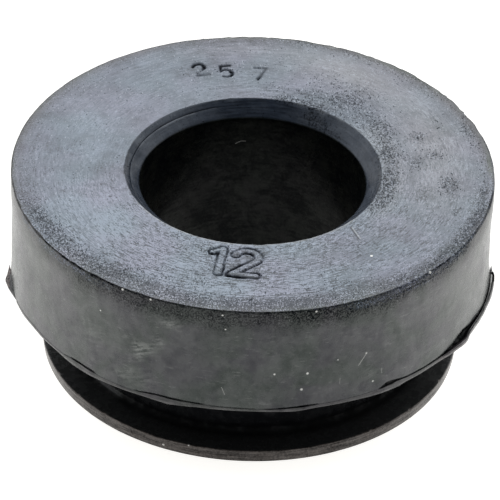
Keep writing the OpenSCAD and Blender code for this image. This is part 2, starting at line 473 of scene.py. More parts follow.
def refine(lo_a, hi_a, lo_r, hi_r, cuts_r, cuts_a):
    """Splits the top face's quads between two azimuths and two radii, more finely along the radius."""
    for cuts, radial in ((cuts_r, True), (cuts_a, False)):
        picked = []
        for edge in bm.edges:
            p, q = (w.co for w in edge.verts)
            if abs(p.z - H) > 1e-4 or abs(q.z - H) > 1e-4:
                continue
            rp, rq = math.hypot(p.x, p.y), math.hypot(q.x, q.y)
            ap, aq = math.degrees(math.atan2(p.y, p.x)) % 360, math.degrees(math.atan2(q.y, q.x)) % 360
            if min(rp, rq) < lo_r or max(rp, rq) > hi_r or min(ap, aq) < lo_a or max(ap, aq) > hi_a:
                continue
            if (abs(ap - aq) < 1e-3) == radial:
                picked.append(edge)
        bmesh.ops.subdivide_edges(bm, edges=picked, cuts=cuts, use_grid_fill=True)


refine(251.0, 275.5, 11.0, 16.0, 6, 3)
refine(83.0, 114.0, 13.5, 17.0, 4, 2)

# the height of the top face, now that its points are all there, and the painted shade in the figures' grooves
flat = [v for v in bm.verts if abs(v.co.z - H) < 1e-6]
px = np.array([v.co.x for v in flat])
py = np.array([v.co.y for v in flat])
relief, dark = top_relief(px, py)
keep = smooth(np.hypot(px, py), RC, RC + 0.5) * (1 - smooth(np.hypot(px, py), R - 0.75, R - 0.3))
for v, h, c, k in zip(flat, relief, dark, keep):
    v.co.z = H + h * k - 0.03
    v[layers["crev"]] = max(v[layers["crev"]], c)
bm.verts.ensure_lookup_table()
bmesh.ops.recalc_face_normals(bm, faces=bm.faces[:])
for f in bm.faces:
    f.smooth = True
for v in bm.verts:
    v.co *= MM
mesh = bpy.data.meshes.new("grommet_rubber")
bm.to_mesh(mesh)
bm.free()
body = bpy.data.objects.new("grommet_rubber", mesh)
bpy.context.scene.collection.objects.link(body)
triangles = sum(len(p.vertices) - 2 for p in mesh.polygons)
print("rows", ROWS, "triangles", triangles)

# ---------------------------------------------------------------- materials


class Nodes:
    """Short names for the shader nodes used here."""

    def __init__(self, tree):
        self.tree = tree

    def new(self, kind, **props):
        n = self.tree.nodes.new(kind)
        for k, v in props.items():
            setattr(n, k, v)
        return n

    def put(self, socket, value):
        if isinstance(value, bpy.types.NodeSocket):
            self.tree.links.new(value, socket)
        else:
            socket.default_value = value

    def math(self, op, a, b=0.0, c=0.0, clamp=False):
        n = self.new("ShaderNodeMath", operation=op, use_clamp=clamp)
        for s, v in zip(n.inputs, (a, b, c)):
            self.put(s, v)
        return n.outputs[0]

    def vec(self, op, a, b=None, scale=None):
        n = self.new("ShaderNodeVectorMath", operation=op)
        self.put(n.inputs[0], a)
        if b is not None:
            self.put(n.inputs[1], b)
        if scale is not None:
            self.put(n.inputs["Scale"], scale)
        return n.outputs["Value" if op in ("LENGTH", "DISTANCE", "DOT_PRODUCT") else "Vector"]

    def ramp(self, x, lo, hi, out_lo=0.0, out_hi=1.0, smoothed=True):
        n = self.new("ShaderNodeMapRange", interpolation_type="SMOOTHSTEP" if smoothed else "LINEAR", clamp=True)
        for s, v in zip(n.inputs, (x, lo, hi, out_lo, out_hi)):
            self.put(s, v)
        return n.outputs[0]

    def noise(self, vector, scale, detail=2.0, rough=0.5, distortion=0.0):
        n = self.new("ShaderNodeTexNoise")
        self.put(n.inputs["Vector"], vector)
        for k, v in (("Scale", scale), ("Detail", detail), ("Roughness", rough), ("Distortion", distortion)):
            self.put(n.inputs[k], v)
        return n.outputs["Fac"]

    def cells(self, vector, scale, feature="F1"):
        n = self.new("ShaderNodeTexVoronoi", feature=feature)
        self.put(n.inputs["Vector"], vector)
        self.put(n.inputs["Scale"], scale)
        return n

    def mix(self, fac, a, b):
        n = self.new("ShaderNodeMix", data_type="RGBA")
        for s, v in ((n.inputs["Factor"], fac), (n.inputs[6], a), (n.inputs[7], b)):
            self.put(s, v)
        return n.outputs[2]

    def lerp(self, fac, a, b):
        n = self.new("ShaderNodeMix", data_type="FLOAT")
        for s, v in ((n.inputs["Factor"], fac), (n.inputs[2], a), (n.inputs[3], b)):
            self.put(s, v)
        return n.outputs[0]

    def attribute(self, name):
        return self.new("ShaderNodeAttribute", attribute_name=name).outputs["Fac"]

    def bump(self, height, strength, distance, normal=None):
        n = self.new("ShaderNodeBump")
        self.put(n.inputs["Height"], height)
        self.put(n.inputs["Strength"], strength)
        self.put(n.inputs["Distance"], distance)
        if normal is not None:
            self.put(n.inputs["Normal"], normal)
        return n.outputs[0]


# how the surface varies, as shares kept on the mesh's points
co = np.zeros(len(mesh.vertices) * 3)
mesh.vertices.foreach_get("co", co)
co = co.reshape(-1, 3) / MM
az, rad, zed = np.degrees(np.arctan2(co[:, 1], co[:, 0])) % 360, np.hypot(co[:, 0], co[:, 1]), co[:, 2]


def read(name):
    out = np.zeros(len(mesh.vertices))
    mesh.attributes[name].data.foreach_get("value", out)
    return out


def write(name, values):
    mesh.attributes.new(name, "FLOAT", "POINT").data.foreach_set("value", np.clip(values, 0, 1).astype(np.float32))


def spot(a, r, wide, tall, where=None):
    """A soft spot at azimuth a and radius r (or height), wide along the circumference and tall across it, in millimetres."""
    across = rad if where is None else where
    reach = 20.2 if where is not None else r
    d = ((az - a + 180) % 360 - 180) * math.pi / 180 * reach
    return np.exp(-((d / wide) ** 2) - ((across - r) / tall) ** 2)


on_top, on_rim = read("top"), read("rim")
edge_at = R - np.interp(az, np.append(A, 360), np.append(rim, rim[0]))
# the grey film of bloom: gone from the rim, and thin along the worn stretches beside it
wear_and_painted_highlight = table(
    az,
    [(0, 0.45), (30, 0.4), (60, 0.32), (85, 0.3), (105, 0.3), (140, 0.45), (180, 0.5), (198, 0.3), (210, 0.12), (235, 0.5),
     (255, 0.95), (285, 0.95), (297, 0.8), (312, 0.75), (328, 0.75), (345, 0.55)],
)
thin = table(az, [(0, 0.5), (30, 0.45), (60, 0.4), (95, 0.46), (130, 0.46), (180, 0.5), (205, 0.6), (235, 0.52), (255, 0.4), (285, 0.4), (315, 0.46), (345, 0.5)])
film = on_top * (thin + (1 - thin) * smooth(edge_at - rad, 0.02, wear_and_painted_highlight + 0.1 * fbm(co * 0.7, 96, 2)))
film *= 1 - np.clip(0.75 + 0.5 * fbm(co * 0.9, 100, 2), 0, 1) * smooth(rad, 19.62, 20.0) * window(az, 6, 98, 10)
film += (rad > 19.9) * (on_top < 0.5) * (on_rim < 0.5) * (0.46 * window(az, 298, 328, 10) + 0.34 * window(az, 203, 232, 8)) * (1 - smooth(H - zed, 0.3, 1.4))
film += on_rim * table(az, [(0, 0.45), (30, 0.3), (60, 0.25), (100, 0.15), (150, 0.1), (195, 0.0), (270, 0.0), (285, 0.14), (300, 0.34), (316, 0.4), (345, 0.34)])
write("film", film)

# where it has lifted in specks
lifted = (
    1.0 * spot(15, 11.7, 1.8, 0.85)
    + 1.0 * spot(357, 11.6, 1.6, 0.75)
    + 1.1 * spot(345, 11.4, 1.9, 0.9)
    + 0.45 * spot(335, 11.4, 1.4, 0.7)
    + 0.6 * spot(31, 12.5, 2.4, 1.1)
    + 0.6 * spot(51, 12.9, 3.4, 1.5)
    + 0.5 * spot(72, 12.4, 3.0, 0.9)
    + 0.35 * spot(58, 15.0, 3.8, 1.6)
    + 0.8 * spot(22, 15.1, 0.9, 0.7)
    + 0.8 * spot(11, 15.5, 0.8, 0.8)
    + 0.6 * spot(8, 13.9, 1.6, 0.9)
    + 0.9 * spot(355.5, 16.5, 1.4, 0.9)
    + 0.4 * spot(26, 17.4, 0.8, 0.5)
    + 0.7 * spot(343, 17.8, 0.8, 0.4)
    + 0.4 * spot(18, 19.3, 3.0, 0.7)
    + 0.55 * spot(353, 19.6, 3.2, 0.5)
    + 0.8 * spot(338, 19.9, 3.4, 0.7)
    + 0.8 * spot(322, 20.0, 4.2, 0.7)
    + 0.3 * spot(306, 19.6, 3.6, 0.8)
    + 0.25 * spot(45, 19.5, 6.0, 0.6)
    + 0.45 * spot(200, 19.2, 2.2, 0.9)
    + 0.45 * spot(208, 19.1, 2.4, 1.1)
    + 0.6 * spot(219, 19.0, 3.4, 1.2)
    + 0.55 * spot(232, 18.9, 3.4, 1.3)
    + 0.3 * spot(246, 18.0, 4.6, 1.9)
    + 0.42 * spot(246, 12.2, 2.6, 1.0)
    + 0.25 * spot(262, 14.0, 4.5, 2.2)
    + 0.2 * spot(262, 18.6, 5.0, 1.2)
    + 0.25 * spot(290, 18.0, 5.0, 1.5)
    + 0.3 * spot(104, 15.4, 4.0, 0.8)
    + 0.6 * spot(62, 10.4, 0.9, 0.5)
    + 0.6 * spot(55, 10.0, 1.6, 0.35)
    + 0.5 * spot(45, 9.7, 2.0, 0.25)
    + 0.9 * spot(77, 11.1, 1.6, 0.35)
    + 0.8 * spot(66, 11.1, 2.0, 0.4)
    + 0.6 * spot(52, 11.2, 2.0, 0.4)
    + 0.35 * smooth(rad, 19.5, 20.1) * window(az, 14, 82, 10)
)
write("lifted", lifted + 0.12 * fbm(co * 0.45, 97, 2) + 0.04)
# how much lighter or darker than elsewhere the film and the countersink are: 0.5 is the mean
write(
    "depth",
    0.5
    + 0.2 * spot(150, 14.0, 7.0, 3.0)
    + 0.12 * spot(205, 15.0, 6.0, 2.4)
    - 0.2 * smooth(rad, 18.5, 19.8) * window(az, 200, 350, 12)
    - 0.62 * smooth(rad, 17.3, 19.3) * window(az, 236, 300, 12) - 0.38 * smooth(rad, 18.5, 19.6) * window(az, 300, 340, 12)
    + on_top * (0.2 * window(az, 203, 246, 10) + 0.15 * window(az, 250, 290, 8) - 0.04 * window(az, 296, 350, 10) + 0.04 * window(az, 20, 75, 10)) * (1 - smooth(rad, 18.2, 19.2))
    + on_top * (0.09 * window(az, 330, 432, 14) + 0.16 * window(az, 335, 385, 10) * (1 - smooth(rad, 12.2, 13.4)))
    + 1.0 * read("cone") * table(az, [(0, 0), (30, 0.5), (60, 0.02), (80, -0.25), (105, -0.25), (120, 0.36), (150, 0.22), (180, -0.06), (210, 0.12), (240, 0.5), (300, 0.8), (330, 1.6), (350, 0.4)])
    - 0.3 * smooth(rad, 19.5, 20.2) * window(az, 18, 75, 12)
    - 0.16 * spot(272, 19.3, 7.0, 0.9)
    - 0.3 * spot(270, 12.2, 3.6, 0.9)
    - 0.22 * spot(268, 14.6, 4.0, 1.6)
    + 0.16 * spot(262, 17.2, 5.0, 1.0)
    + 0.14 * spot(72, 17.6, 4.0, 1.2)
    + 0.1 * spot(60, 16.2, 4.0, 1.2)
    - 0.24 * spot(12, 11.7, 2.6, 0.9)
    - 0.18 * spot(350, 11.6, 3.0, 0.8)
    - 0.16 * spot(60, 12.2, 4.6, 1.0)
    - 0.14 * spot(95, 19.7, 9.0, 0.7)
    - 0.12 * spot(185, 19.4, 7.0, 0.9)
    + 0.1 * spot(0, 15.4, 3.0, 1.4)
    - 0.08 * spot(330, 15.5, 5.0, 1.8)
    + 0.06 * spot(306, 17.6, 4.0, 1.4),
)
# where it is brushed into streaks round the bore
write(
    "streaky",
    0.2
    + 0.9 * spot(261, 17.3, 5.0, 1.3)
    + 0.4 * spot(225, 16.0, 6.0, 2.0)
    + 0.5 * spot(285, 15.5, 6.0, 2.0)
    + 0.8 * spot(88, 12.0, 3.5, 0.9)
    + 2.0 * smooth(rad, 19.3, 19.9) * window(az, 303, 352, 8)
    + 0.5 * spot(100, 18.4, 7.0, 1.2)
    + 0.3 * spot(180, 18.5, 7.0, 1.6),
)
# how coarse its grain is
write(
    "coarse",
    table(az, [(0, 0.16), (30, 0.1), (60, 0.06), (90, 0.04), (120, 0.05), (175, 0.05), (195, 0.2), (215, 0.45), (240, 0.8),
               (262, 0.95), (285, 0.75), (300, 0.42), (330, 0.22), (345, 0.24)])
    + 0.4 * smooth(rad, 18.2, 19.8) * window(az, 203, 350, 12)
    + 0.5 * smooth(rad, 19.3, 19.9) * window(az, 10, 84, 10)
    + 0.4 * (1 - smooth(rad, 11.4, 13.2)) * window(az, 330, 390, 16)
    + 0.3 * (1 - smooth(rad, 11.4, 13.2)) * window(az, 232, 310, 12)
    - 0.15 * spot(250, 16.2, 2.5, 1.2),
)
# where it turns brown towards the rim
write("warm", (on_top + on_rim) * (1.0 * spot(160, 20.3, 11.0, 0.7) + 0.8 * spot(115, 20.3, 8.0, 0.7) + spot(48, 20.3, 12.0, 1.0) + 0.8 * spot(20, 20.3, 7.0, 0.8)))
# the upper rim, bare of film and darkened further as painted shade, which shows as a dark line
write("edge", on_rim * table(az, [(0, 0.45), (20, 0.9), (60, 0.95), (90, 0.7), (150, 0.7), (180, 0.85), (195, 1.0), (215, 1.0), (235, 0.7), (250, 0.4), (262, 0.34), (285, 0.3), (303, 0.28), (320, 0.3), (345, 0.4)]))
# where fine lines run along the rim and just under it
write("ruled", (on_rim + (rad > 19.9) * (on_top < 0.5) * (on_rim < 0.5)) * (1 - smooth(H - zed, 0.35, 1.0)) * window(az, 304, 352, 8) * (0.7 + 0.6 * fbm(co * 0.5, 99, 2)))
# a neutral grey instead of blue, at the back right
write("plain", on_top * (0.9 * spot(60, 17.2, 6.5, 2.6) + 0.7 * spot(22, 16.0, 5.0, 3.5) + 0.4 * spot(95, 18.6, 6.0, 1.2) + 0.55 * spot(354, 15.5, 6.0, 3.5) + 0.4 * window(az, 335, 390, 12) * (1 - smooth(rad, 12.0, 13.4)) + 0.4 * smooth(rad, 18.2, 19.6) * window(az, 225, 300, 12)))
# the dark band under the upper rim: painted shade, with pits, crumbs and upright brush marks in it
band = table(az, [(0, 0.3), (60, 0.6), (180, 0.3), (200, 0.42), (215, 0.48), (230, 0.9), (250, 0.76), (270, 0.84), (290, 1.0), (300, 0.95), (315, 0.9), (325, 0.74), (335, 0.62), (345, 0.5)])
fall = H - zed
reach = (1.5 + 0.7 * fbm(co * 0.35, 98, 2)) * table(az, [(0, 0.6), (200, 0.8), (230, 1.2), (275, 1.2), (290, 1.4), (312, 1.0), (330, 1.0), (345, 0.8)])
on_wall = (rad > 19.9) & (zed > SEAT + 0.3) & (on_top < 0.5)
write("pitted_and_shaded", on_wall * band * np.minimum(0.8, 1 - smooth(fall, 0.1 * reach, 1.6 * reach)))
# how much the groove's walls take the light at a glance: least in front
write("matte", read("groove") * window(az, 246, 293, 14) * smooth(zed, 1.4, 2.6) + read("cone") * (0.85 * window(az, 78, 104, 22) + 0.35 * window(az, 165, 215, 12) + 0.2 * window(az, 345, 375, 10)))
# pale smudges on the wall
write(
    "dusty",
    on_wall
    * (
        1.3 * spot(243.2, 11.55, 0.55, 0.45, zed)
        + 1.3 * spot(244.8, 11.9, 0.5, 0.34, zed)
        + 1.3 * spot(246.3, 12.25, 0.5, 0.28, zed)
        + 1.2 * spot(247.8, 12.65, 0.45, 0.22, zed)
        + 0.9 * spot(249.2, 13.0, 0.35, 0.16, zed)
        + 0.6 * spot(243.8, 10.9, 0.3, 0.5, zed)
        + 0.8 * spot(251.8, 15.2, 0.8, 0.5, zed)
        + 0.7 * spot(241.2, 9.8, 0.4, 0.6, zed)
        + 0.45 * spot(240, 8.6, 1.3, 0.6, zed)
        + 0.4 * spot(246, 9.0, 0.8, 0.6, zed)
        + 0.35 * spot(300, 9.4, 0.6, 0.5, zed)
        + 0.3 * spot(232, 11.0, 1.6, 1.2, zed)
    ),
)


def rubber_material():
    mat = bpy.data.materials.new("moulded_rubber")
    mat.use_nodes = True
    tree = mat.node_tree
    tree.nodes.clear()
    n = Nodes(tree)
    out = n.new("ShaderNodeOutputMaterial")
    shader = n.new("ShaderNodeBsdfPrincipled")
    tree.links.new(shader.outputs[0], out.inputs[0])

    mm = n.vec("SCALE", n.new("ShaderNodeTexCoord").outputs["Object"], scale=1000.0)
    split = n.new("ShaderNodeSeparateXYZ")
    n.put(split.inputs[0], mm)
    x, y, z = split.outputs
    flat = n.new("ShaderNodeCombineXYZ")
    n.put(flat.inputs[0], x)
    n.put(flat.inputs[1], y)
    radius = n.vec("LENGTH", flat.outputs[0])
    unit = n.vec("NORMALIZE", flat.outputs[0])

    def polar(round_freq, radial_freq, z_freq):
        """Coordinates for marks drawn out along the circumference: cells per millimetre round the part, along the radius and in height."""
        around_it = n.new("ShaderNodeSeparateXYZ")
        n.put(around_it.inputs[0], n.vec("SCALE", unit, scale=15.0 * round_freq))
        third = n.math("ADD", n.math("MULTIPLY", radius, radial_freq), n.math("MULTIPLY", z, z_freq))
        c = n.new("ShaderNodeCombineXYZ")
        n.put(c.inputs[0], around_it.outputs[0])
        n.put(c.inputs[1], around_it.outputs[1])
        n.put(c.inputs[2], third)
        return c.outputs[0]

    def centred(value, gain):
        """A pattern moved to run about zero and scaled."""
        return n.math("MULTIPLY", n.math("SUBTRACT", value, 0.5), gain)

    def total(*values):
        out = values[0]
        for v in values[1:]:
            out = n.math("ADD", out, v)
        return out

    m = {k: n.attribute(k) for k in ("film", "lifted", "streaky", "coarse", "warm", "edge", "ruled", "pitted_and_shaded", "dusty", "cone", "bore", "groove", "matte", "lip", "flash", "glint", "crev", "foot", "depth", "plain")}

    # shared patterns; flecks are drawn out a little along Y
    drawn = n.vec("MULTIPLY", mm, (1.0, 0.62, 1.0))
    grain = n.noise(mm, 4.6, 1.0, 0.6)
    fine = n.noise(mm, 9.5, 1.0, 0.6)
    fleck = n.noise(drawn, 9.2, 1.0, 0.6)
    cloud = n.noise(mm, 0.36, 3.0, 0.6, 0.5)
    patch = n.noise(mm, 0.95, 3.0, 0.62, 0.7)
    hue = n.noise(mm, 0.17, 1.0, 0.5)
    streak = n.noise(polar(0.5, 5.0, 5.0), 1.0, 2.0, 0.6)
    hatch = n.noise(polar(1.7, 8.2, 8.2), 1.0, 1.0, 0.6)
    lines = n.ramp(n.noise(polar(0.22, 7.0, 7.5), 1.0, 1.0, 0.5), 0.52, 0.62)
    mottle = n.noise(mm, 1.4, 3.0, 0.6)
    dots = n.noise(mm, 7.0, 0.0, 0.5)
    dashes = n.noise(polar(1.5, 0.0, 6.5), 1.0, 1.0, 0.5)
    upright = n.noise(polar(4.5, 0.0, 0.4), 1.0, 2.0, 0.6)
    slanted = n.new("ShaderNodeCombineXYZ")
    n.put(slanted.inputs[0], n.vec("DOT_PRODUCT", mm, (0.63, 0.0, 0.29)))
    n.put(slanted.inputs[1], n.vec("DOT_PRODUCT", mm, (0.0, 0.7, 0.0)))
    n.put(slanted.inputs[2], n.vec("DOT_PRODUCT", mm, (-1.7, 0.0, 3.6)))
    stroke = n.noise(slanted.outputs[0], 1.0, 2.0, 0.6)

    # bloom on the top face
    near = n.math("MULTIPLY", m["film"], 4.0, clamp=True)
    film = n.ramp(n.math("ADD", m["film"], n.math("MULTIPLY", total(centred(fleck, 1.6), centred(streak, 0.9)), near)), 0.12, 0.72)
    lifted_here = n.math("ADD", m["lifted"], centred(patch, 0.8), clamp=True)
    cluster = n.ramp(n.noise(mm, 0.7, 2.0, 0.6, 0.8), 0.38, 0.62, 0.55, 1.4)
    rough_gain = n.math("MULTIPLY", n.ramp(m["coarse"], 0.0, 1.0, 0.36, 3.5, smoothed=False), cluster)
    tone = total(m["depth"], centred(cloud, 0.9), centred(patch, 0.5), n.math("MULTIPLY", lifted_here, -0.14))
    by_rim = n.ramp(radius, 17.8, 19.2)
    crossed = total(n.math("MULTIPLY", centred(fleck, 0.8), n.ramp(by_rim, 0.0, 1.0, 1.0, 1.9)), n.math("MULTIPLY", centred(hatch, 1.35), n.ramp(by_rim, 0.0, 1.0, 1.0, 0.35)), centred(fine, 0.4))
    tone = n.math("ADD", tone, n.math("MULTIPLY", crossed, rough_gain))
    tone = n.math("ADD", tone, n.math("MULTIPLY", centred(streak, 2.0), m["streaky"]))
    tone = n.ramp(tone, 0.0, 1.0, smoothed=False)
    blue = n.mix(tone, (0.036, 0.044, 0.054, 1), (0.167, 0.200, 0.243, 1))
    violet = n.mix(tone, (0.039, 0.043, 0.055, 1), (0.181, 0.194, 0.245, 1))
    bloom = n.mix(n.ramp(hue, 0.38, 0.62), blue, violet)
    bloom = n.mix(m["plain"], bloom, n.mix(tone, (0.046, 0.048, 0.053, 1), (0.203, 0.208, 0.225, 1)))
    bloom = n.mix(n.math("MULTIPLY", m["warm"], 0.8, clamp=True), bloom, n.mix(tone, (0.030, 0.028, 0.030, 1), (0.120, 0.113, 0.117, 1)))

    # specks where the film has lifted, and the pale crumbs between them
    def dots_of(where, scale, size, share):
        """Separate round dots, each there or not by its own chance."""
        c = n.cells(where, scale)
        chance = n.new("ShaderNodeSeparateColor")
        n.put(chance.inputs[0], c.outputs["Color"])
        there = n.ramp(n.math("SUBTRACT", share, chance.outputs[0]), 0.0, 0.12)
        return n.math("MULTIPLY", n.ramp(c.outputs["Distance"], size * 0.55, size, 1.0, 0.0), there)

    curls = n.math("ABSOLUTE", centred(n.noise(mm, 2.8, 1.0, 0.5, 1.6), 1.0))
    dark_curls = n.math("MULTIPLY", n.ramp(curls, 0.0, 0.085, 1.0, 0.0), n.ramp(lifted_here, 0.25, 0.8, 0.0, 0.85))
    dark_specks = n.ramp(total(n.noise(drawn, 7.4, 1.0, 0.5), n.math("MULTIPLY", lifted_here, 0.22)), 0.69, 0.79)
    dark_dots = n.math("MAXIMUM", dots_of(drawn, 5.4, 0.44, n.math("MULTIPLY", lifted_here, 0.7)), n.math("MAXIMUM", dark_curls, dark_specks))
    dark_dots = n.math("MULTIPLY", dark_dots, n.math("ADD", near, m["cone"], clamp=True))
    pale_dots = n.ramp(total(n.noise(drawn, 7.0, 1.0, 0.5, 0.4), n.math("MULTIPLY", lifted_here, 0.12)), 0.64, 0.76)
    ruled = n.math("MULTIPLY", m["ruled"], lines)
    dark_dots = n.math("MAXIMUM", dark_dots, n.math("MULTIPLY", ruled, 0.9))
    bloom = n.mix(n.math("MULTIPLY", dark_dots, 0.9), bloom, (0.012, 0.014, 0.019, 1))
    bloom = n.mix(n.math("MULTIPLY", pale_dots, 0.45), bloom, (0.29, 0.32, 0.37, 1))

    # bare rubber
    shade = n.noise(mm, 0.26, 2.0, 0.55, 0.6)
    blotch = n.noise(mm, 0.5, 3.0, 0.6, 0.8)
    bare = n.mix(n.ramp(shade, 0.38, 0.62), (0.0090, 0.0135, 0.0120, 1), (0.0125, 0.0130, 0.0175, 1))
    bare = n.mix(n.ramp(total(mottle, centred(blotch, 1.2)), 0.3, 0.75, 0.0, 0.75), bare, (0.0215, 0.0235, 0.0240, 1))
    smudge = n.math("MULTIPLY", m["dusty"], n.ramp(total(stroke, centred(grain, 0.25)), 0.38, 0.62))
    haze = n.ramp(n.noise(mm, 0.22, 3.0, 0.62, 0.8), 0.5, 0.75, 0.0, 0.16)
    scuffs = n.ramp(n.noise(n.vec("MULTIPLY", mm, (1.0, 1.0, 1.7)), 2.3, 2.0, 0.6, 1.0), 0.62, 0.74, 0.0, 0.28)
    bare = n.mix(n.math("MAXIMUM", haze, scuffs), bare, (0.080, 0.082, 0.080, 1))
    bare = n.mix(n.math("MULTIPLY", smudge, 0.8, clamp=True), bare, (0.190, 0.195, 0.190, 1))
    strokes = n.math("MULTIPLY", n.ramp(dashes, 0.57, 0.7), n.ramp(patch, 0.48, 0.62, 0.0, 0.3))
    bare = n.mix(strokes, bare, (0.170, 0.175, 0.170, 1))
    brushed = n.math("MULTIPLY", n.ramp(upright, 0.55, 0.75), n.math("MULTIPLY", m["pitted_and_shaded"], 0.5))
    bare = n.mix(brushed, bare, (0.100, 0.103, 0.105, 1))
    # painted shade in the band under the upper rim
    bare = n.mix(n.math("MULTIPLY", m["pitted_and_shaded"], n.ramp(total(fleck, centred(blotch, 0.8)), 0.25, 0.7, 0.35, 1.0)), bare, (0.0045, 0.0048, 0.0065, 1))
    pits = n.math("MULTIPLY", n.ramp(total(dots, centred(fleck, 0.8), n.math("MULTIPLY", m["pitted_and_shaded"], 0.2)), 0.58, 0.68), m["pitted_and_shaded"])
    bare = n.mix(n.math("MULTIPLY", pits, 0.85), bare, (0.0022, 0.0025, 0.0038, 1))
    crumbs = n.math("MULTIPLY", dots_of(drawn, 6.0, 0.4, 0.2), n.math("MULTIPLY", m["pitted_and_shaded"], 1.5, clamp=True))
    bare = n.mix(n.math("MULTIPLY", crumbs, 0.65), bare, (0.13, 0.135, 0.14, 1))
    # painted shade on the upper rim, streaked, with the fine lines along it
    rim_shade_and_lines = n.math("MULTIPLY", m["edge"], n.ramp(total(streak, centred(fleck, 0.8)), 0.3, 0.6, 0.45, 1.35), clamp=True)
    rim_shade_and_lines = n.math("MAXIMUM", rim_shade_and_lines, n.math("MULTIPLY", ruled, 0.75))
    bare = n.mix(rim_shade_and_lines, bare, (0.0030, 0.0033, 0.0045, 1))

    colour = n.mix(film, bare, bloom)
    scored = n.noise(polar(0.35, 4.2, 4.2), 1.0, 3.0, 0.65)
    cone_tone = n.mix(n.ramp(scored, 0.25, 0.75), (0.0015, 0.0028, 0.0060, 1), (0.0150, 0.0205, 0.0310, 1))
    cone_tone = n.mix(n.math("MULTIPLY", m["depth"], n.ramp(scored, 0.2, 0.8, 0.45, 0.95), clamp=True), cone_tone, (0.043, 0.051, 0.065, 1))
    cone_tone = n.mix(n.math("MULTIPLY", dark_dots, 0.8), cone_tone, (0.001, 0.001, 0.0015, 1))
    colour = n.mix(m["cone"], colour, cone_tone)
    # the bore in a darker copy of the rubber, mottled: painted shade
    rubbed = n.ramp(total(n.noise(mm, 0.5, 3.0, 0.65, 0.5), centred(grain, 0.4), centred(scored, 0.5)), 0.3, 0.75)
    colour = n.mix(m["bore"], colour, n.mix(rubbed, (0.0011, 0.0016, 0.0023, 1), (0.0052, 0.0059, 0.0046, 1)))
    # the groove in two copies of the rubber: painted shade on the neck and under the flange, painted light on the lip's
    # upper face
    neck_tone = n.mix(mottle, (0.0036, 0.0040, 0.0050, 1), (0.0085, 0.0088, 0.0100, 1))
    ledge_tone = n.mix(mottle, (0.0160, 0.0170, 0.0175, 1), (0.0340, 0.0350, 0.0350, 1))
    colour = n.mix(m["groove"], colour, n.mix(n.ramp(z, 1.3, 1.8), ledge_tone, neck_tone))
    scuff = total(n.noise(polar(0.5, 5.0, 7.0), 1.0, 2.0, 0.6), centred(n.noise(mm, 5.2, 2.0, 0.65), 0.7))
    lip_tone = n.mix(n.ramp(scuff, 0.3, 0.7), (0.0080, 0.0062, 0.0056, 1), (0.0560, 0.0470, 0.0420, 1))
    colour = n.mix(m["lip"], colour, lip_tone)
    frayed = n.noise(polar(1.2, 6.0, 6.0), 1.0, 2.0, 0.65)
    flash_tone = n.mix(n.ramp(frayed, 0.3, 0.7), (0.0060, 0.0045, 0.0050, 1), (0.0460, 0.0400, 0.0430, 1))
    colour = n.mix(n.math("MULTIPLY", m["flash"], 0.8), colour, flash_tone)
    torn_here = n.math("MULTIPLY", n.ramp(x, -20.42, -20.22, 1.0, 0.0), n.ramp(z, 7.9, 8.3, 1.0, 0.0))
    fibres = n.ramp(n.noise(n.vec("MULTIPLY", mm, (4.2, 4.2, 0.9)), 1.0, 2.0, 0.6), 0.45, 0.55)
    colour = n.mix(n.math("MULTIPLY", torn_here, 0.9), colour, n.mix(fibres, (0.0040, 0.0028, 0.0026, 1), (0.150, 0.112, 0.100, 1)))
    colour = n.mix(m["foot"], colour, bare)
    # painted shade: the crevices, the figures' grooves, the neck's fillet and the lip's foot in near black, broken into
    # dashes in places, and the tab darkened in the same channel
    at_left = n.math("MULTIPLY", n.ramp(x, -12.6, -11.6, 1.0, 0.0), n.ramp(z, 8.4, 9.0, 1.0, 0.0))
    dashed = n.ramp(n.noise(mm, 1.9, 2.0, 0.6), 0.44, 0.54)
    broken = n.math("MULTIPLY", m["crev"], n.lerp(at_left, n.ramp(streak, 0.34, 0.5, 0.7, 0.98), n.ramp(dashed, 0.0, 1.0, 0.3, 0.98)), clamp=True)
    colour = n.mix(broken, colour, (0.002, 0.002, 0.0025, 1))
    # painted highlight on the countersink's front edge and on the flash's ridge and outer edge
    colour = n.mix(m["glint"], colour, (0.30, 0.30, 0.29, 1))

    # dust, lint and scratches
    def specks(places):
        """Round specks of dust, each given by its place and radius."""
        out = None
        for x_, y_, z_, r_ in places:
            one = n.ramp(n.vec("DISTANCE", mm, (x_, y_, z_)), r_ * 0.65, r_, 1.0, 0.0)
            out = one if out is None else n.math("MAXIMUM", out, one)
        return out

    def line(a, b, wide):
        """A straight scratch or hair from a to b."""
        d = [q - p for p, q in zip(a, b)]
        along = n.math("DIVIDE", n.vec("DOT_PRODUCT", n.vec("SUBTRACT", mm, a), d), sum(c * c for c in d), clamp=True)
        foot = n.vec("MULTIPLY_ADD", d, along)
        foot.node.inputs[2].default_value = a
        return n.ramp(n.vec("DISTANCE", mm, foot), wide * 0.4, wide, 1.0, 0.0)

